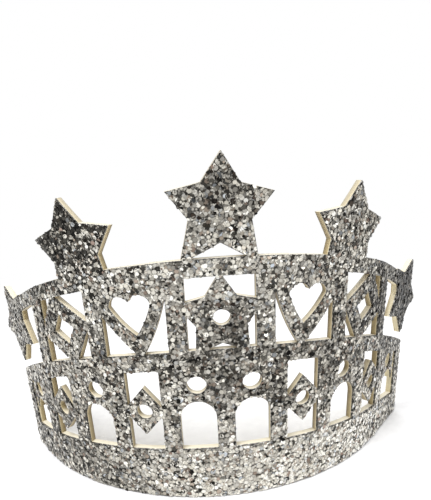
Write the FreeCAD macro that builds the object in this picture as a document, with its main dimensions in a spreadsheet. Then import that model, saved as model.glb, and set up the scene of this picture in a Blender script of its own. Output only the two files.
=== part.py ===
import FreeCAD, Part
import math
import os

import Sketcher

# A party crown: one sheet of soft backing with a glitter facing bonded to it, die cut in one
# stroke and bent into an open ring that leans outwards. The ring's axis is vertical, the front
# of the crown looks along -Y and the bottom edge lies on Z = 0.
# The right end is bent less than the left one, as the soft sheet hangs.
# The cut pattern is drawn flat, as x along the bottom edge from the middle and y up the sheet.

Vec = FreeCAD.Vector
SHEET_CELLS = [
    # bent sheet
    ("ring_radius", 57.0),
    ("flare_angle", 4.0),
    ("left_arc_angle", 58.0),
    ("right_arc_angle", 48.0),
    ("backing_thickness", 1.45),
    ("face_thickness", 0.35),
    ("face_setback", 0.2),
    ("trim_margin", 4.0),
    # lower tier, heights at the middle and how far each edge falls towards the ends
    ("half_span", 66.0),
    ("end_post_width", 4.0),
    ("band_height", 13.6),
    ("band_drop", 6.8),
    ("mid_rail_height", 34.4),
    ("mid_rail_width", 4.3),
    ("mid_rail_drop", 15.4),
    # upper tier
    ("top_rail_height", 55.8),
    ("top_rail_width", 4.0),
    ("top_rail_drop", 17.4),
    # openwork of the upper tier
    ("upper_pitch", 19.0),
    ("upper_post_width", 4.2),
    ("motif_stroke", 3.5),
    ("motif_overlap", 0.9),
    ("heart_point_height", 5.6),
    ("inner_star_hole_radius", 1.9),
    # openwork of the lower tier
    ("lower_post_width", 4.2),
    ("round_hole_radius", 2.2),
    ("lozenge_half_height", 6.0),
    ("lozenge_hole_radius", 1.9),
    ("arch_share", 0.6),
    ("smallest_opening_area", 4.0),
    # stars that stand on the top rail and at its ends
    ("star_waist", 0.58),
    ("middle_star_radius", 12.1),
    ("middle_star_rise", 10.3),
    ("middle_star_sink", 1.4),
    ("middle_star_station", 0.7),
    ("middle_star_tilt", 2.6),
    ("side_star_radius", 11.8),
    ("side_star_sink", 3.4),
    ("side_star_station", 31.6),
    ("side_star_tilt", 10.5),
    ("end_star_radius", 11.5),
    ("end_star_inset", 1.0),
    ("end_star_drop", 5.4),
    ("end_star_tilt", 36.0),
]
STAR_POINTS = 5
# corners of a star, counted round from its tip, that are its feet
STAR_FEET = (4, 6)
# shares of a heart's half width that set its cleft and the bow of its sides
HEART_CLEFT = 0.6
HEART_BELLY = 0.1
LOWER_CELLS = 10
UPPER_POSTS = (-2.5, -1.5, -0.5, 0.5, 1.5, 2.5)
# how far a cutter reaches outside and inside the sheet
CUTTER_OUT = 10.0
CUTTER_IN = 7.0
# neighbouring cutters share this much, so that no thread of sheet stays between them
CUTTER_LAP = 0.4
# the pattern is laid out this far outside the sheet, where the neighbouring cutters cross
PATTERN_CLEARANCE = 0.5

doc = FreeCAD.newDocument("party_crown")
sizes = doc.addObject("Spreadsheet::Sheet", "Sizes")
for row, (alias, number) in enumerate(SHEET_CELLS, start=1):
    sizes.set("A%d" % row, alias)
    sizes.set("B%d" % row, str(number))
    sizes.setAlias("B%d" % row, alias)
doc.recompute()


def size(alias):
    return float(sizes.get(alias))


def origin_plane(body, role):
    return next(item for item in body.Origin.OriginFeatures if item.Role == role)


# Bent blanks

LEAN = "tan(Sizes.flare_angle * 1deg)"
BLANK_HEIGHT = (
    "(Sizes.top_rail_height + Sizes.top_rail_width + Sizes.middle_star_rise"
    " + Sizes.middle_star_radius + Sizes.trim_margin)"
)
END_RUN = (
    "Sizes.half_span - Sizes.end_star_inset + Sizes.end_star_radius + Sizes.trim_margin"
    " - Sizes.ring_radius * Sizes.%s * pi / 180"
)
# rough section that the constraints pull to size
DRAFT_SECTION = ((-57, 0), (-62, 80), (-60, 80), (-55, 0))


def section_sketch(body, name, turn, outside, thickness):
    """Section of the leaning sheet, in a vertical plane turned about the ring's axis."""
    sketch = body.newObject("Sketcher::SketchObject", name)
    sketch.AttachmentSupport = [(origin_plane(body, "YZ_Plane"), "")]
    sketch.MapMode = "FlatFace"
    sketch.AttachmentOffset = FreeCAD.Placement(Vec(), FreeCAD.Rotation(Vec(0, 1, 0), 0))
    sketch.setExpression("AttachmentOffset.Rotation.Angle", turn)
    corners = [Vec(along, up, 0) for along, up in DRAFT_SECTION]
    for index, corner in enumerate(corners):
        sketch.addGeometry(Part.LineSegment(corner, corners[(index + 1) % 4]))
    for index in range(4):
        sketch.addConstraint(Sketcher.Constraint("Coincident", index, 2, (index + 1) % 4, 1))
    sketch.addConstraint(Sketcher.Constraint("PointOnObject", 0, 1, -1))
    sketch.addConstraint(Sketcher.Constraint("Horizontal", 1))
    sketch.addConstraint(Sketcher.Constraint("Horizontal", 3))
    sketch.addConstraint(Sketcher.Constraint("Parallel", 0, 2))
    across = "(%s) / cos(Sizes.flare_angle * 1deg)" % thickness
    outer_foot, outer_top, inner_top, inner_foot = corners
    measures = [
        ("DistanceX", (0, 1, -1, 1), -outer_foot.x, "(%s) * 1mm" % outside),
        ("DistanceX", (0, 2, 0, 1), outer_foot.x - outer_top.x, "%s * %s * 1mm" % (BLANK_HEIGHT, LEAN)),
        ("DistanceY", (0, 1, 0, 2), outer_top.y, "%s * 1mm" % BLANK_HEIGHT),
        ("DistanceX", (3, 2, 3, 1), inner_foot.x - outer_foot.x, "(%s) * 1mm" % across),
    ]
    for kind, ends, draft, expression in measures:
        index = sketch.addConstraint(Sketcher.Constraint(kind, *ends, draft))
        sketch.setExpression("Constraints[%d]" % index, expression)
    return sketch


def bent_blank(name, outside, thickness):
    """Sheet before cutting: a leaning arc about the ring's axis and a straight run at each end."""
    body = doc.addObject("PartDesign::Body", name)
    middle_turn = "(Sizes.right_arc_angle - Sizes.left_arc_angle) / 2 * 1deg"
    arc_section = section_sketch(body, name + "_section", middle_turn, outside, thickness)
    arc = body.newObject("PartDesign::Revolution", name + "_arc")
    arc.Profile = arc_section
    arc.ReferenceAxis = (arc_section, ["V_Axis"])
    arc.Midplane = True
    arc.setExpression("Angle", "(Sizes.left_arc_angle + Sizes.right_arc_angle) * 1deg")
    for side, label in ((1, "right"), (-1, "left")):
        end_angle = label + "_arc_angle"
        turn = "%d * Sizes.%s * 1deg" % (side, end_angle)
        end_name = "%s_%s" % (name, label)
        run = body.newObject("PartDesign::Pad", end_name)
        run.Profile = section_sketch(body, end_name + "_section", turn, outside, thickness)
        run.Reversed = side < 0
        run.setExpression("Length", "(%s) * 1mm" % (END_RUN % end_angle))
    return body


ACROSS_FACE = "Sizes.face_thickness / cos(Sizes.flare_angle * 1deg)"
sheet_blank = bent_blank(
    "SheetBlank", "Sizes.ring_radius", "Sizes.face_thickness + Sizes.backing_thickness"
)
# everything inside the bond line, deeper than the backing so that only the bond line cuts
inside_bond = bent_blank(
    "InsideBond",
    "Sizes.ring_radius - %s" % ACROSS_FACE,
    "Sizes.backing_thickness + Sizes.trim_margin",
)
doc.recompute()


# Flat pattern

def height_on(rail, x):
    """Height at x of an edge that falls towards the ends as (height at the middle, drop)."""
    return rail[0] - rail[1] * (x / size("half_span")) ** 2


def slope_on(rail, x):
    return math.degrees(math.atan(-2 * rail[1] * x / size("half_span") ** 2))


def line(start, end):
    return Part.LineSegment(start, end).toShape()


def rail_arc(rail, x_from, x_to):
    ends = [Vec(x, height_on(rail, x), 0) for x in (x_from, (x_from + x_to) / 2, x_to)]
    return Part.Arc(*ends).toShape() if rail[1] else line(ends[0], ends[2])


def polygon(points):
    return Part.Face(Part.makePolygon(points + points[:1]))


def strip(low, high, x_from, x_to):
    """Face between two edges that run along the sheet."""
    under = rail_arc(low, x_from, x_to)
    over = rail_arc(high, x_from, x_to)
    right = line(Vec(x_to, height_on(low, x_to), 0), Vec(x_to, height_on(high, x_to), 0))
    left = line(Vec(x_from, height_on(high, x_from), 0), Vec(x_from, height_on(low, x_from), 0))
    return Part.Face(Part.Wire([under, right, over, left]))


def disc(centre, radius):
    """Round face whose edge is two half circles."""
    halves = []
    for turn in (0, 180):
        halves.append(Part.makeCircle(radius, centre, Vec(0, 0, 1), turn, turn + 180))
    return Part.Face(Part.Wire(halves))


def turned(shape, x, y, angle):
    """Copy of a shape drawn at the flat pattern's origin, turned and moved to x, y."""
    return shape.transformed(
        FreeCAD.Placement(Vec(x, y, 0), FreeCAD.Rotation(Vec(0, 0, 1), angle)).toMatrix()
    )


def star(x, y, radius, tilt, foot_reach):
    """Five-pointed star, true to shape on the bent sheet, which widens upwards."""
    corners = []
    for index in range(2 * STAR_POINTS):
        reach = radius if index % 2 == 0 else radius * size("star_waist")
        if index in STAR_FEET:
            reach = foot_reach
        turn = math.radians(90 - tilt + index * 180 / STAR_POINTS)
        corner_y = y + reach * math.sin(turn)
        widening = 1 + corner_y * math.tan(math.radians(size("flare_angle"))) / size("ring_radius")
        corners.append(Vec(x + reach * math.cos(turn) / widening, corner_y, 0))
    return polygon(corners)


def lozenge(half_width, half_height):
    return polygon(
        [Vec(half_width, 0, 0), Vec(0, half_height, 0), Vec(-half_width, 0, 0), Vec(0, -half_height, 0)]
    )


def heart(half_width, top, bottom):
    """Heart whose two lobes touch y = top and whose sides bow down to a point."""
    lobe = half_width / 2
    cleft = Vec(0, top - HEART_CLEFT * lobe, 0)
    tip = Vec(0, bottom, 0)
    sides = []
    for side in (-1, 1):
        shoulder = Vec(side * half_width, top - lobe, 0)
        belly = (shoulder + tip) * 0.5 + Vec(side * HEART_BELLY * half_width, 0, 0)
        sides.append(Part.Arc(cleft, Vec(side * lobe, top, 0), shoulder).toShape())
        sides.append(Part.Arc(shoulder, belly, tip).toShape())
    left_lobe, left_side, right_lobe, right_side = sides
    return Part.Face(Part.Wire([left_lobe, left_side, right_side, right_lobe]))


base_edge = (0.0, 0.0)
band_top = (size("band_height"), size("band_drop"))
mid_low = (size("mid_rail_height"), size("mid_rail_drop"))
mid_top = (size("mid_rail_height") + size("mid_rail_width"), size("mid_rail_drop"))
top_low = (size("top_rail_height"), size("top_rail_drop"))
top_edge = (size("top_rail_height") + size("top_rail_width"), size("top_rail_drop"))
half_span = size("half_span")


def upper_motifs():
    """Lozenges, hearts and a star in the upper row, each grown a little into what holds it."""
    pieces = []
    holes = []
    overlap = size("motif_overlap")
    stroke = size("motif_stroke")
    half_width = (size("upper_pitch") - size("upper_post_width")) / 2 + overlap
    for cell in (-2, -1, 0, 1, 2):
        x = cell * size("upper_pitch")
        low = height_on(mid_top, x)
        high = height_on(top_low, x)
        half_height = (high - low) / 2 + overlap
        middle = (low + high) / 2
        tilt = slope_on(top_low, x)
        if cell == 0:
            foot_share = math.cos(math.pi / STAR_POINTS)
            radius = 2 * half_height / (1 + foot_share)
            y = high + overlap - radius
            pieces.append(star(x, y, radius, 0, radius))
            holes.append(disc(Vec(x, y, 0), size("inner_star_hole_radius")))
        elif abs(cell) == 1:
            pieces.append(turned(heart(half_width, half_height, -half_height), x, middle, tilt))
            inner_point = size("heart_point_height") - half_height
            inner = heart(half_width - stroke, half_height - stroke, inner_point)
            holes.append(turned(inner, x, middle, tilt))
        else:
            pieces.append(turned(lozenge(half_width, half_height), x, middle, tilt))
            share = 1 - stroke * math.hypot(half_width, half_height) / (half_width * half_height)
            inner = lozenge(half_width * share, half_height * share)
            holes.append(turned(inner, x, middle, tilt))
    return pieces, holes


def lower_cells():
    """Arched lights under a round hole, in turn with pierced lozenges between the posts."""
    pieces = []
    holes = []
    pitch = 2 * (half_span - size("end_post_width")) / LOWER_CELLS
    half_width = (pitch - size("lower_post_width")) / 2
    for cell in range(LOWER_CELLS):
        x = (cell - (LOWER_CELLS - 1) / 2) * pitch
        low = height_on(band_top, x)
        high = height_on(mid_low, x)
        from_middle = int(abs(x) // pitch)
        if from_middle % 2 == 0:
            crown = low + (high - low) * size("arch_share")
            spring = crown - half_width
            left = Vec(x - half_width, spring, 0)
            right = Vec(x + half_width, spring, 0)
            arch = Part.Arc(left, Vec(x, crown, 0), right).toShape()
            roof_right = Vec(right.x, height_on(mid_top, right.x), 0)
            roof_left = Vec(left.x, height_on(mid_top, left.x), 0)
            edges = [arch, line(right, roof_right), line(roof_right, roof_left), line(roof_left, left)]
            pieces.append(Part.Face(Part.Wire(edges)))
            holes.append(disc(Vec(x, (crown + high) / 2, 0), size("round_hole_radius")))
        else:
            filled = lozenge(half_width + size("motif_overlap"), size("lozenge_half_height"))
            pieces.append(turned(filled, x, (low + high) / 2, 0))
            holes.append(disc(Vec(x, (low + high) / 2, 0), size("lozenge_hole_radius")))
    for post in range(1 - LOWER_CELLS // 2, LOWER_CELLS // 2):
        half = size("lower_post_width") / 2
        pieces.append(strip(band_top, mid_top, post * pitch - half, post * pitch + half))
    for side in (-1, 1):
        ends = sorted((side * half_span, side * (half_span - size("end_post_width"))))
        pieces.append(strip(base_edge, mid_top, *ends))
    return pieces, holes


def end_star_station():
    return half_span - size("end_star_inset")


def crown_stars():
    """Stars as (station, height, radius, tilt, reach of the feet), from the left end to the right."""
    foot = math.cos(math.pi / STAR_POINTS)
    middle_y = top_edge[0] + size("middle_star_rise")
    foot_reach = (size("middle_star_rise") + size("middle_star_sink")) / foot
    middle_radius = size("middle_star_radius")
    middle_tilt = size("middle_star_tilt")
    middle = (size("middle_star_station"), middle_y, middle_radius, middle_tilt, foot_reach)
    side_x = size("side_star_station")
    side_radius = size("side_star_radius")
    side_y = height_on(top_edge, side_x) - size("side_star_sink") + side_radius * foot
    end_x = end_star_station()
    end_radius = size("end_star_radius")
    end_y = height_on(top_edge, end_x) - size("end_star_drop")
    outer = [
        (side_x, side_y, side_radius, size("side_star_tilt"), side_radius),
        (end_x, end_y, end_radius, size("end_star_tilt"), end_radius),
    ]
    mirrored = [(-x, y, radius, -tilt, reach) for x, y, radius, tilt, reach in reversed(outer)]
    return mirrored + [middle] + outer


def artwork():
    """Everything that stays of the flat sheet, as one face."""
    posts = []
    for number in UPPER_POSTS:
        x = number * size("upper_pitch")
        half = size("upper_post_width") / 2
        posts.append(strip(mid_low, top_edge, x - half, x + half))
    upper, upper_holes = upper_motifs()
    lower, lower_holes = lower_cells()
    rails = [
        strip(base_edge, band_top, -half_span, half_span),
        strip(mid_low, mid_top, -half_span, half_span),
        strip(top_low, top_edge, -end_star_station(), end_star_station()),
    ]
    stars = [star(*values) for values in crown_stars()]
    solid = rails[0].multiFuse(rails[1:] + posts + upper + lower + stars)
    return solid.cut(upper_holes + lower_holes).removeSplitter()


# Cutters

def sheet_turn(x):
    """How far the sheet has turned about the ring's axis at x, in radians to either side."""
    end_turn = math.radians(size("right_arc_angle" if x > 0 else "left_arc_angle"))
    return min(abs(x) / size("ring_radius"), end_turn)


def on_sheet(x, y):
    """Point just outside the bent sheet for a point of the flat pattern."""
    lean = y * math.tan(math.radians(size("flare_angle")))
    radius = size("ring_radius") + PATTERN_CLEARANCE + lean
    side = 1 if x > 0 else -1
    turn = sheet_turn(x)
    run = abs(x) - size("ring_radius") * turn
    return Vec(
        side * (radius * math.sin(turn) + run * math.cos(turn)),
        run * math.sin(turn) - radius * math.cos(turn),
        y,
    )


def outward(x):
    turn = sheet_turn(x)
    return Vec(math.copysign(math.sin(turn), x), -math.cos(turn), 0)


def cutter(face, station):
    """Prism through the bent sheet, square to it at the station, of one face of the flat waste."""
    normal = outward(station)
    start = on_sheet(station, 0) + normal * CUTTER_OUT

    def seat(point):
        on_wall = on_sheet(point.x, point.y)
        return on_wall - normal * (on_wall - start).dot(normal)

    corners = [vertex.Point for vertex in face.OuterWire.OrderedVertexes]
    edges = []
    for index, edge in enumerate(face.OuterWire.OrderedEdges):
        first = seat(corners[index])
        last = seat(corners[(index + 1) % len(corners)])
        if isinstance(edge.Curve, Part.Line):
            edges.append(line(first, last))
        else:
            middle = edge.valueAt((edge.FirstParameter + edge.LastParameter) / 2)
            edges.append(Part.Arc(first, seat(middle), last).toShape())
    profile = Part.Face(Part.Wire(edges))
    return profile.extrude(normal * -(CUTTER_OUT + CUTTER_IN))


def star_columns(stars):
    """Stretch of the sheet that belongs to each star, as (station, from, to)."""
    stations = [values[0] for values in stars]
    edge = stations[-1] + stars[-1][2] + CUTTER_OUT
    limits = [-edge] + [(a + b) / 2 for a, b in zip(stations, stations[1:])] + [edge]
    return [(x, limits[i] - CUTTER_LAP, limits[i + 1] + CUTTER_LAP) for i, x in enumerate(stations)]


def outline_cutter(kept, stars):
    """The waste round the stars and past the ends of the tiers, as one solid."""
    star_tip = stars[len(stars) // 2][1] + stars[len(stars) // 2][2]
    sheet_top = star_tip + CUTTER_OUT
    floor = -size("trim_margin")
    columns = []
    for station, x_from, x_to in star_columns(stars):
        column = strip((floor, 0), (sheet_top, 0), x_from, x_to)
        for face in column.cut(kept).Faces:
            if face.BoundBox.YMax > star_tip:
                columns.append(cutter(face, station))
    return columns[0].multiFuse(columns[1:])


def opening_cutters(kept):
    """A punch for each opening of the openwork that is large enough to be cut."""
    waste = Part.Face(kept.Faces[0].OuterWire).cut(kept).Faces
    openings = [face for face in waste if face.Area > size("smallest_opening_area")]
    return Part.makeCompound([cutter(face, face.CenterOfMass.x) for face in openings])


sheet_art = artwork()
outline_die = doc.addObject("Part::Feature", "OutlineDie")
outline_die.Shape = outline_cutter(sheet_art, crown_stars())
opening_die = doc.addObject("Part::Feature", "OpeningDie")
opening_die.Shape = opening_cutters(sheet_art)

# the facing ends just above the bottom edge, where the knife rolls it over
edge_trim = doc.addObject("Part::Box", "EdgeTrim")
edge_trim.setExpression("Length", "4 * Sizes.ring_radius * 1mm")
edge_trim.setExpression("Width", "4 * Sizes.ring_radius * 1mm")
edge_trim.setExpression("Height", "(Sizes.trim_margin + Sizes.face_setback) * 1mm")
edge_trim.setExpression("Placement.Base.x", "-2 * Sizes.ring_radius * 1mm")
edge_trim.setExpression("Placement.Base.y", "-2 * Sizes.ring_radius * 1mm")
edge_trim.setExpression("Placement.Base.z", "-Sizes.trim_margin * 1mm")


def boolean(kind, name, base, tool):
    step = doc.addObject(kind, name)
    step.Base = base
    step.Tool = tool
    return step


cut_outline = boolean("Part::Cut", "CutOutline", sheet_blank, outline_die)
cut_sheet = boolean("Part::Cut", "CutSheet", cut_outline, opening_die)
backing_sheet = boolean("Part::Common", "BackingSheet", cut_sheet, inside_bond)
backing_sheet.Label = "backing_sheet"
facing = boolean("Part::Cut", "Facing", cut_sheet, inside_bond)
glitter_face = boolean("Part::Cut", "GlitterFace", facing, edge_trim)
glitter_face.Label = "glitter_face"
doc.recompute()

# The crown's own frame has its origin under the middle of the space that it takes up

sub_parts = [backing_sheet, glitter_face]
whole = Part.makeCompound([part.Shape for part in sub_parts]).optimalBoundingBox(False, False)
to_origin = Vec(-(whole.XMin + whole.XMax) / 2, -(whole.YMin + whole.YMax) / 2, -whole.ZMin)
for part in sub_parts:
    part.Placement = FreeCAD.Placement(to_origin, FreeCAD.Rotation())
doc.recompute()

for item in doc.Objects:
    if "Invalid" in item.State or "Error" in item.State:
        raise RuntimeError("%s failed" % item.Label)
for part in sub_parts:
    if part.Shape.isNull() or not part.Shape.isValid() or len(part.Shape.Solids) != 1:
        raise RuntimeError("%s isn't one valid solid" % part.Label)

os.makedirs("parts", exist_ok=True)
for part in sub_parts:
    part.Shape.exportStep("parts/%s.step" % part.Label)
    print(part.Label, "volume %.1f mm3, %d faces" % (part.Shape.Volume, len(part.Shape.Faces)))
print("box", whole, "moved by", to_origin)
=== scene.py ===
import math
import random

import bmesh
import bpy
from mathutils import Matrix, Vector, noise
from mathutils.bvhtree import BVHTree


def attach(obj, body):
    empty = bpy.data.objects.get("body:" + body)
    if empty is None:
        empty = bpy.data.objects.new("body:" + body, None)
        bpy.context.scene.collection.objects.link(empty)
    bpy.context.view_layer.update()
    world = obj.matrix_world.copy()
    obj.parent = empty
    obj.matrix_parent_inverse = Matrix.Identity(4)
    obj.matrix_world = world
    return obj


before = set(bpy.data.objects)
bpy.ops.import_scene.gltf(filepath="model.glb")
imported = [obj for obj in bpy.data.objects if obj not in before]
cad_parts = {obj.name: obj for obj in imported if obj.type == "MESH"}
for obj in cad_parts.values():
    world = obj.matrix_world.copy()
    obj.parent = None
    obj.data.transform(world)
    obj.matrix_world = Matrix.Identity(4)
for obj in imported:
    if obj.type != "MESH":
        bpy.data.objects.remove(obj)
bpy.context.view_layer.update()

MM = 0.001

# Bent sheet, as the frame holds it: an arc about a vertical axis, leaning outwards, that runs
# straight on past the ends of the arc
RING_AXIS = Vector((-1.453, 39.070, 0.0)) * MM
RING_RADIUS = 57.0 * MM
LEAN = math.tan(math.radians(4.0))
LEFT_ARC_ANGLE = math.radians(58.0)
RIGHT_ARC_ANGLE = math.radians(48.0)
SHEET_THICKNESS = 1.8 * MM

# Sizes that the patterns of the materials repeat at, in millimetres. A felt fibre of 0.02 mm is too
# fine to show, so fibres are drawn as clumps.
FIBRE_CLUMP = 0.385
FELT_CLOUD = 6.25
CUT_STREAK = 1.11
DUST_GRAIN = 0.417
PAPER_GRAIN = 2.5

# Loose flakes of the facing, hexagons punched from metallised film
FLAKE_SIDES = 6
COARSE_FLAKES = 15000
FINE_FLAKES = 9000
COARSE_RADIUS = (0.46 * MM, 0.68 * MM)
FINE_RADIUS = (0.24 * MM, 0.38 * MM)
FLAKE_TILT = math.radians(9.0)
FLAKE_LIFT = (0.03 * MM, 0.22 * MM)
FLAKE_SEED = 11

# The face of the facing is where its normal points outwards by more than this
OUTWARD_COSINE = 0.8
# Way before the face, and again behind it, in which a corner of a flake looks for the sheet
PROBE_REACH = 2.0 * MM
# A corner that would hang over the edge of the sheet keeps this share of its way from the middle
TRIMMED_SHARE = 0.35

# Brightness of the flakes from 0 to 1, a painted reflection, how much it differs between them, and the
# share of dark ones
GLITTER_MEAN = 0.53
GLITTER_SPREAD = 0.20
LEAST_SPREAD = 0.05
GLITTER_DARK = 0.08
DARK_FLAKE_TONE = (0.0, 0.16)

# Painted reflection of an uneven layer: broad and close wander of the brightness, and wander of the
# dark share
BROAD_SIZE, BROAD_WANDER = 12.0 * MM, 0.14
CLOSE_SIZE, CLOSE_WANDER = 2.5 * MM, 0.22
DARK_WANDER = 0.12

# Stretches of the facing with painted reflection, brighter or darker than the rest as if they mirrored
# other surroundings, as (station, height, reach along, reach up, brighter by, more spread by, more
# dark flakes by), with the places in millimetres on the flat sheet
GLITTER_ZONES = (
    (-34.0, 76.0, 16.0, 14.0, -0.22, 0.08, 0.50),
    (-34.0, 60.0, 14.0, 9.0, 0.05, 0.04, 0.26),
    (0.0, 78.0, 16.0, 9.0, -0.20, 0.0, 0.10),
    (2.0, 62.0, 12.0, 6.0, 0.12, 0.0, 0.0),
    (-14.0, 56.0, 14.0, 6.0, 0.10, 0.0, 0.0),
    (-52.0, 30.0, 20.0, 22.0, 0.06, -0.04, 0.04),
    (-40.0, 8.0, 20.0, 8.0, -0.06, 0.0, 0.06),
    (4.0, 34.0, 26.0, 12.0, -0.20, 0.0, 0.06),
    (10.0, 5.0, 36.0, 11.0, 0.24, -0.08, -0.06),
    (44.0, 6.0, 18.0, 10.0, 0.32, 0.02, 0.02),
    (66.0, 40.0, 16.0, 16.0, -0.42, -0.05, 0.25),
    (48.0, 44.0, 10.0, 16.0, -0.14, 0.0, 0.05),
)

# Camera of the photograph, with its angles in radians, its focal length in pixels of the
# photograph and the side of its sensor in millimetres
PHOTO_WIDTH, PHOTO_HEIGHT = 431, 500
PHOTO_FOCAL = 529.0
CAMERA_PLACE = Vector((-10.21, -131.01, 83.83)) * MM
CAMERA_PITCH = 0.2013
CAMERA_YAW = 0.0741
CAMERA_ROLL = 0.0527
CAMERA_NEAR = 10.0 * MM
SENSOR_SIDE = 36.0

# Stage, in metres and watts: each softbox has its name, place, side and power, and the soft light,
# which has only a strength, comes from all round
FLOOR_HALF = 3.0
LIGHT_AIM = Vector((0.0, 0.0, 0.04))
SOFTBOXES = (
    ("key_softbox", Vector((-0.3, -0.4, 0.85)), 0.45, 9.0),
    ("fill_softbox", Vector((0.7, -0.45, 0.35)), 0.6, 2.6),
    ("back_softbox", Vector((0.1, 0.8, 0.6)), 0.6, 3.0),
)
SOFT_LIGHT = 0.42
# Distances from the crown between which the floor goes over into white, in millimetres
FLOOR_FADE_START, FLOOR_FADE_END = 60.0, 260.0

# Sockets of a Mix node that mixes colours
FACTOR, FIRST, SECOND, RESULT = 0, 6, 7, 2


def linear(hex_colour):
    """Linear RGBA of an sRGB hex colour."""
    channels = [int(hex_colour[i:i + 2], 16) / 255 for i in (1, 3, 5)]
    return [c / 12.92 if c <= 0.04045 else ((c + 0.055) / 1.055) ** 2.4 for c in channels] + [1.0]


# Materials

def new_material(name):
    """Material without nodes, and its node tree."""
    material = bpy.data.materials.new(name)
    material.use_nodes = True
    material.node_tree.nodes.clear()
    return material, material.node_tree


def add(tree, kind, inputs=None, stops=(), **settings):
    """Node of a kind, with its settings. Each input gets a value, the socket that feeds it or a node
    whose first output does. Stops are those of a colour ramp, as (place, sRGB hex)."""
    node = tree.nodes.new(kind)
    for key, value in settings.items():
        setattr(node, key, value)
    for key, value in (inputs or {}).items():
        if isinstance(value, bpy.types.Node):
            value = value.outputs[0]
        if isinstance(value, bpy.types.NodeSocket):
            tree.links.new(value, node.inputs[key])
        else:
            node.inputs[key].default_value = value
    if stops:
        elements = node.color_ramp.elements
        while len(elements) < len(stops):
            elements.new(0.5)
        for element, (place, colour) in zip(elements, stops):
            element.position = place
            element.color = linear(colour)
    return node


def in_millimetres(tree):
    """Object coordinates in millimetres."""
    coords = add(tree, "ShaderNodeTexCoord")
    return add(tree, "ShaderNodeVectorMath", {0: coords.outputs["Object"], "Scale": 1 / MM},
               operation="SCALE")


def sheet_frame(tree, place):
    """How far a face is turned from the sheet, 0 on its faces and 1 on a cut wall, and the depth
    below the outer surface in millimetres. Both hold on the arc."""
    from_axis = add(tree, "ShaderNodeVectorMath", {0: place, 1: RING_AXIS / MM}, operation="SUBTRACT")
    level = add(tree, "ShaderNodeVectorMath", {0: from_axis, 1: (1.0, 1.0, 0.0)}, operation="MULTIPLY")
    outward = add(tree, "ShaderNodeVectorMath", {0: level}, operation="NORMALIZE")
    normal = add(tree, "ShaderNodeNewGeometry").outputs["True Normal"]
    facing = add(tree, "ShaderNodeVectorMath", {0: normal, 1: outward}, operation="DOT_PRODUCT")
    facing = add(tree, "ShaderNodeMath", {0: facing.outputs["Value"]}, operation="ABSOLUTE")
    wall = add(tree, "ShaderNodeMath", {0: 1.0, 1: facing}, operation="SUBTRACT", use_clamp=True)
    height = add(tree, "ShaderNodeSeparateXYZ", {0: place}).outputs["Z"]
    outer = add(tree, "ShaderNodeMath", {0: height, 1: LEAN, 2: RING_RADIUS / MM},
                operation="MULTIPLY_ADD")
    radius = add(tree, "ShaderNodeVectorMath", {0: level}, operation="LENGTH").outputs["Value"]
    depth = add(tree, "ShaderNodeMath", {0: outer, 1: radius}, operation="SUBTRACT")
    return wall, depth


def felt_material():
    """Polyester felt, pressed: matt cream with short fibres that lie every way. Its cut walls are
    tan with pale streaks, the tan partly the felt's own and partly painted shade that darkens them
    towards the back, and painted light makes them pale where they face up."""
    material, tree = new_material("pressed_polyester_felt")
    place = in_millimetres(tree)
    wall, depth = sheet_frame(tree, place)
    fibres = add(tree, "ShaderNodeTexNoise", {"Vector": place, "Scale": 1 / FIBRE_CLUMP, "Detail": 6.0,
                                              "Roughness": 0.7, "Distortion": 1.6})
    cream = add(tree, "ShaderNodeValToRGB", {"Fac": fibres},
                [(0.30, "#D3CAB2"), (0.55, "#E6DFCB"), (0.78, "#F4F0E3")])
    clouds = add(tree, "ShaderNodeTexNoise", {"Vector": place, "Scale": 1 / FELT_CLOUD, "Detail": 3.0})
    clouds = add(tree, "ShaderNodeMath", {0: clouds, 1: 0.35}, operation="MULTIPLY")
    cream = add(tree, "ShaderNodeMix", {FACTOR: clouds, FIRST: cream, SECOND: linear("#D9CEAE")},
                data_type="RGBA").outputs[RESULT]
    # Cut walls: the felt's own tan edge, with painted shade that darkens it towards the back of the
    # sheet
    deep = add(tree, "ShaderNodeMath", {0: depth, 1: SHEET_THICKNESS / MM}, operation="DIVIDE")
    cut = add(tree, "ShaderNodeValToRGB", {"Fac": deep},
              [(0.2, "#E3D8B8"), (0.34, "#AD9B72"), (0.7, "#84724C"), (0.95, "#55462B")])
    streaks = add(tree, "ShaderNodeTexNoise", {"Vector": place, "Scale": 1 / CUT_STREAK,
                                               "Detail": 4.0, "Roughness": 0.6})
    streaks = add(tree, "ShaderNodeMath", {0: streaks, 1: 0.45}, operation="MULTIPLY")
    cut = add(tree, "ShaderNodeMix", {FACTOR: streaks, FIRST: cut, SECOND: linear("#CDBF99")},
              data_type="RGBA").outputs[RESULT]
    # Painted light: cut walls that face up are painted paler, where the light from above falls on them
    normal = add(tree, "ShaderNodeNewGeometry").outputs["True Normal"]
    upward = add(tree, "ShaderNodeSeparateXYZ", {0: normal}).outputs["Z"]
    lit_face_up = add(tree, "ShaderNodeMapRange",
                 {"Value": upward, "From Min": 0.45, "From Max": 0.95, "To Max": 0.75})
    cut = add(tree, "ShaderNodeMix", {FACTOR: lit_face_up, FIRST: cut, SECOND: linear("#EFE8D3")},
              data_type="RGBA").outputs[RESULT]
    on_wall = add(tree, "ShaderNodeMapRange", {"Value": wall, "From Min": 0.35, "From Max": 0.6})
    colour = add(tree, "ShaderNodeMix", {FACTOR: on_wall, FIRST: cream, SECOND: cut},
                 data_type="RGBA").outputs[RESULT]
    bump = add(tree, "ShaderNodeBump", {"Height": fibres, "Strength": 0.55, "Distance": 0.12 * MM})
    shader = add(tree, "ShaderNodeBsdfPrincipled",
                 {"Base Color": colour, "Roughness": 0.95, "Sheen Weight": 0.35,
                  "Sheen Roughness": 0.5, "Normal": bump})
    add(tree, "ShaderNodeOutputMaterial", {"Surface": shader})
    return material


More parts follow.
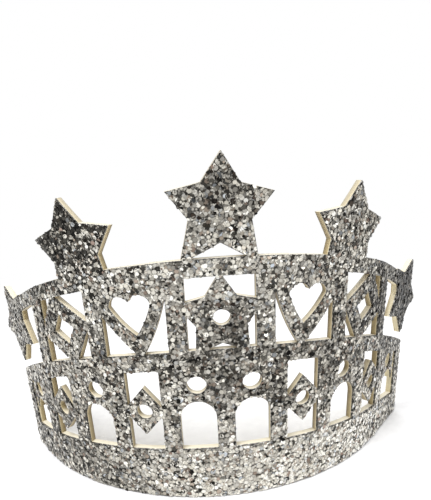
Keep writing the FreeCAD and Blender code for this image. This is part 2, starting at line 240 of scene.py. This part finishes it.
def film_material():
    """Glitter dust cast in a clear binder, under the loose flakes: grainy silver with dark pits."""
    material, tree = new_material("cast_glitter_binder")
    place = in_millimetres(tree)
    grains = add(tree, "ShaderNodeTexVoronoi", {"Vector": place, "Scale": 1 / DUST_GRAIN})
    tone = add(tree, "ShaderNodeSeparateColor", {0: grains.outputs["Color"]})
    colour = add(tree, "ShaderNodeValToRGB", {"Fac": tone},
                 [(0.0, "#1F1E1C"), (0.4, "#55534F"), (0.8, "#8F8C86"), (1.0, "#C9C6BF")])
    tilt = add(tree, "ShaderNodeBump", {"Height": tone, "Strength": 0.9, "Distance": 0.2 * MM})
    shader = add(tree, "ShaderNodeBsdfPrincipled",
                 {"Base Color": colour, "Metallic": 0.8, "Roughness": 0.38, "Normal": tilt})
    add(tree, "ShaderNodeOutputMaterial", {"Surface": shader})
    return material


def flake_material():
    """Polyester film, metallised and punched: each flake is a small mirror, with a painted reflection
    in its colour, near white, grey or black by the way that it lies, and some have a warm or a blue
    tint. Painted shade darkens its rim against its middle."""
    material, tree = new_material("punched_metallised_film")
    shade = add(tree, "ShaderNodeAttribute", attribute_name="flake_shade").outputs["Color"]
    brightness, tint, rim = add(tree, "ShaderNodeSeparateColor", {0: shade}).outputs
    # Painted reflection: each flake's brightness stands for the light that it mirrors, put into its
    # colour
    silver = add(tree, "ShaderNodeValToRGB", {"Fac": brightness},
                 [(0.0, "#151412"), (0.2, "#56544F"), (0.45, "#A19E97"), (0.75, "#DBD8CF"),
                  (1.0, "#FFFEF9")])
    tint = add(tree, "ShaderNodeValToRGB", {"Fac": tint},
               [(0.0, "#A08C84"), (0.08, "#CFC4BA"), (0.16, "#FFFDF8"), (0.9, "#FFFFFF"),
                (1.0, "#BFC8D6")])
    # Painted shade: each flake is darker towards its rim, where it meets the flakes around it
    rim = add(tree, "ShaderNodeValToRGB", {"Fac": rim}, [(0.78, "#FFFFFF"), (1.0, "#918F8A")])
    colour = silver
    for filter_colour in (tint, rim):
        colour = add(tree, "ShaderNodeMix", {FACTOR: 1.0, FIRST: colour, SECOND: filter_colour},
                     data_type="RGBA", blend_type="MULTIPLY").outputs[RESULT]
    shader = add(tree, "ShaderNodeBsdfPrincipled",
                 {"Base Color": colour, "Metallic": 0.85, "Roughness": 0.3})
    add(tree, "ShaderNodeOutputMaterial", {"Surface": shader})
    return material


def seen_rays(tree):
    """1 for rays from the camera, also by way of a mirror or of something clear, and 0 for light
    that falls on other surfaces."""
    rays = add(tree, "ShaderNodeLightPath").outputs
    seen = add(tree, "ShaderNodeMath", {0: rays["Is Camera Ray"], 1: rays["Is Glossy Ray"]},
               operation="MAXIMUM")
    return add(tree, "ShaderNodeMath", {0: seen, 1: rays["Is Transmission Ray"]}, operation="MAXIMUM")


def floor_material():
    """Studio paper, calendered: matt and pale, and it goes over into the white background."""
    material, tree = new_material("calendered_studio_paper")
    place = in_millimetres(tree)
    grain = add(tree, "ShaderNodeTexNoise", {"Vector": place, "Scale": 1 / PAPER_GRAIN, "Detail": 3.0})
    colour = add(tree, "ShaderNodeValToRGB", {"Fac": grain}, [(0.3, "#F1F1F2"), (0.7, "#F7F7F8")])
    paper = add(tree, "ShaderNodeBsdfPrincipled", {"Base Color": colour, "Roughness": 0.9})
    white = add(tree, "ShaderNodeEmission", {"Color": linear("#FFFFFF"), "Strength": 1.0})
    distance = add(tree, "ShaderNodeVectorMath", {0: place}, operation="LENGTH").outputs["Value"]
    far = add(tree, "ShaderNodeMapRange",
              {"Value": distance, "From Min": FLOOR_FADE_START, "From Max": FLOOR_FADE_END},
              interpolation_type="SMOOTHSTEP")
    fade = add(tree, "ShaderNodeMath", {0: far, 1: seen_rays(tree)}, operation="MULTIPLY")
    surface = add(tree, "ShaderNodeMixShader", {0: fade, 1: paper, 2: white})
    add(tree, "ShaderNodeOutputMaterial", {"Surface": surface})
    return material


def dress(node_object, material):
    """Gives a node of the frame one material all over."""
    for slot in node_object.material_slots:
        slot.material = material
    if not node_object.material_slots:
        node_object.data.materials.append(material)


# Glitter facing

def sheet_turn(point):
    """Turn of the sheet about the ring's axis beside a point, constant past the arc's ends."""
    turn = math.atan2(point.x - RING_AXIS.x, RING_AXIS.y - point.y)
    return max(-LEFT_ARC_ANGLE, min(RIGHT_ARC_ANGLE, turn))


def outward_at(point):
    """Direction that the outer face of the sheet looks in beside a point."""
    turn = sheet_turn(point)
    return Vector((math.sin(turn), -math.cos(turn), -LEAN)).normalized()


def station_at(point):
    """Way along the bottom edge from the middle to below a point, to the right."""
    turn = sheet_turn(point)
    along = Vector((math.cos(turn), math.sin(turn), 0.0))
    return RING_RADIUS * turn + (point - RING_AXIS).dot(along)


def outer_surface(node_object):
    """Triangles of the facing that look outwards, as (area, three corners, normal)."""
    mesh = node_object.data
    mesh.calc_loop_triangles()
    corners = [vertex.co.copy() for vertex in mesh.vertices]
    kept = []
    for triangle in mesh.loop_triangles:
        a, b, c = (corners[index] for index in triangle.vertices)
        outward = triangle.normal.dot(outward_at((a + b + c) / 3))
        if outward > OUTWARD_COSINE and triangle.area > 0:
            kept.append((triangle.area, a, b, c, triangle.normal.copy()))
    return kept


def random_spots(triangles, count, draw):
    """Evenly spread random points on triangles, each with the normal there."""
    total = sum(item[0] for item in triangles)
    spots = []
    step = total / count
    reach = draw.random() * step
    for area, a, b, c, normal in triangles:
        while reach < area:
            u, v = draw.random(), draw.random()
            if u + v > 1:
                u, v = 1 - u, 1 - v
            spots.append((a + (b - a) * u + (c - a) * v, normal))
            reach += step
        reach -= area
    return spots


def flake_pattern():
    """Corners of a flat flake of unit radius."""
    pattern = bmesh.new()
    bmesh.ops.create_circle(pattern, segments=FLAKE_SIDES, radius=1.0)
    corners = [vert.co.copy() for vert in pattern.verts]
    pattern.free()
    return corners


def flake_turn(normal, draw):
    """Turn of a flake that lies on the face, leaning a little to any side and spun any way."""
    lie = normal.to_track_quat("Z", "Y").to_matrix()
    lean = Matrix.Rotation(draw.gauss(0.0, FLAKE_TILT), 3, "X")
    lean = Matrix.Rotation(draw.uniform(0, math.tau), 3, "Z") @ lean
    spin = Matrix.Rotation(draw.uniform(0, math.tau), 3, "Z")
    return lie @ lean @ spin


def trimmed_rim(centre, corners, normal, outside):
    """Rim of a flake with the corners drawn in that hang over the edge of the sheet, or None where
    most of them do."""
    off = [outside.ray_cast(corner + normal * PROBE_REACH, -normal, 2 * PROBE_REACH)[0] is None
           for corner in corners]
    if sum(off) > FLAKE_SIDES // 2:
        return None
    return [centre + (corner - centre) * TRIMMED_SHARE if hangs else corner
            for corner, hangs in zip(corners, off)]


def tone_zone(spot):
    """Mean brightness, spread and share of dark flakes round a spot, all painted reflection.

    The flakes lie with the sheet, so each stretch of it mirrors other surroundings, and this is
    painted
    into their colour: the plain band is bright, the left star dark and the right end dim."""
    station = station_at(spot) / MM
    height = spot.z / MM
    broad = noise.noise(spot / BROAD_SIZE)
    close = noise.noise(spot / CLOSE_SIZE)
    mean = GLITTER_MEAN + BROAD_WANDER * broad + CLOSE_WANDER * close
    values = [mean, GLITTER_SPREAD, GLITTER_DARK + DARK_WANDER * broad]
    for middle, level, along, up, *changes in GLITTER_ZONES:
        distance = ((station - middle) / along) ** 2 + ((height - level) / up) ** 2
        weight = math.exp(-distance)
        values = [value + weight * change for value, change in zip(values, changes)]
    return values


def flake_shade(spot, draw):
    """Brightness, a painted reflection, and tint of one flake, each from 0 to 1."""
    mean, spread, dark = tone_zone(spot)
    if draw.random() < dark:
        brightness = draw.uniform(*DARK_FLAKE_TONE)
    else:
        brightness = draw.gauss(mean, max(LEAST_SPREAD, spread))
    return max(0.0, min(1.0, brightness)), draw.random()


def flakes(node_object):
    """Loose hexagons strewn over the outside of the facing and cut off at its edges. Each is a fan
    of triangles that holds its brightness, a painted reflection, its tint and the way out to its rim
    from 0 to 1."""
    triangles = outer_surface(node_object)
    vertices = [corner for item in triangles for corner in item[1:4]]
    faces = [(i, i + 1, i + 2) for i in range(0, len(vertices), 3)]
    outside = BVHTree.FromPolygons(vertices, faces)
    draw = random.Random(FLAKE_SEED)
    pattern = flake_pattern()
    glitter = bmesh.new()
    shade = glitter.loops.layers.float_color.new("flake_shade")
    for count, sizes in ((FINE_FLAKES, FINE_RADIUS), (COARSE_FLAKES, COARSE_RADIUS)):
        for spot, normal in random_spots(triangles, count, draw):
            radius = draw.uniform(*sizes)
            turn = flake_turn(normal, draw)
            centre = spot + normal * draw.uniform(*FLAKE_LIFT)
            corners = [centre + turn @ (corner * radius) for corner in pattern]
            rim = trimmed_rim(centre, corners, normal, outside)
            if rim is None:
                continue
            hub = glitter.verts.new(centre)
            edge = [glitter.verts.new(corner) for corner in rim]
            brightness, tint = flake_shade(spot, draw)
            for first, second in zip(edge, edge[1:] + edge[:1]):
                for loop in glitter.faces.new((hub, first, second)).loops:
                    loop[shade] = (brightness, tint, 0.0 if loop.vert is hub else 1.0, 1.0)
    mesh = bpy.data.meshes.new("glitter_flakes")
    glitter.to_mesh(mesh)
    glitter.free()
    piece = bpy.data.objects.new("glitter_flakes", mesh)
    bpy.context.scene.collection.objects.link(piece)
    return piece


# Stage

def stage_floor():
    """Wide flat floor under the crown."""
    ground = bmesh.new()
    bmesh.ops.create_grid(ground, x_segments=2, y_segments=2, size=FLOOR_HALF)
    mesh = bpy.data.meshes.new("studio_floor")
    ground.to_mesh(mesh)
    ground.free()
    floor = bpy.data.objects.new("studio_floor", mesh)
    floor.data.materials.append(floor_material())
    bpy.context.scene.collection.objects.link(floor)


def studio_light():
    """Three softboxes, and surroundings that light softly but are seen as white."""
    for name, place, side, power in SOFTBOXES:
        lamp = bpy.data.lights.new(name, "AREA")
        lamp.shape = "SQUARE"
        lamp.size = side
        lamp.energy = power
        light = bpy.data.objects.new(name, lamp)
        light.location = place
        light.rotation_euler = (LIGHT_AIM - place).to_track_quat("-Z", "Y").to_euler()
        bpy.context.scene.collection.objects.link(light)
    studio = bpy.data.worlds.new("studio")
    studio.use_nodes = True
    tree = studio.node_tree
    tree.nodes.clear()
    light = add(tree, "ShaderNodeBackground", {"Color": linear("#FFFFFF"), "Strength": SOFT_LIGHT})
    white = add(tree, "ShaderNodeBackground", {"Color": linear("#FFFFFF"), "Strength": 1.0})
    surface = add(tree, "ShaderNodeMixShader", {0: seen_rays(tree), 1: light, 2: white})
    add(tree, "ShaderNodeOutputWorld", {"Surface": surface})
    bpy.context.scene.world = studio


def photo_camera():
    """Camera at the photograph's place: rolled about its own axis, pitched down, then yawed to the
    right. Unturned, it looks straight down."""
    data = bpy.data.cameras.new("photo_camera")
    data.sensor_width = SENSOR_SIDE
    data.lens = PHOTO_FOCAL / max(PHOTO_WIDTH, PHOTO_HEIGHT) * SENSOR_SIDE
    data.clip_start = CAMERA_NEAR
    camera = bpy.data.objects.new("photo_camera", data)
    roll = Matrix.Rotation(-CAMERA_ROLL, 4, "Z")
    pitch = Matrix.Rotation(math.pi / 2 - CAMERA_PITCH, 4, "X")
    yaw = Matrix.Rotation(-CAMERA_YAW, 4, "Z")
    camera.matrix_world = Matrix.Translation(CAMERA_PLACE) @ yaw @ pitch @ roll
    bpy.context.scene.collection.objects.link(camera)
    bpy.context.scene.camera = camera


bpy.context.scene.view_settings.view_transform = "Standard"
photo_camera()
stage_floor()
studio_light()

dress(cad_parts["backing_sheet"], felt_material())
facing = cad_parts["glitter_face"]
dress(facing, film_material())
strewn = flakes(facing)
strewn.data.materials.append(flake_material())
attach(strewn, "root")
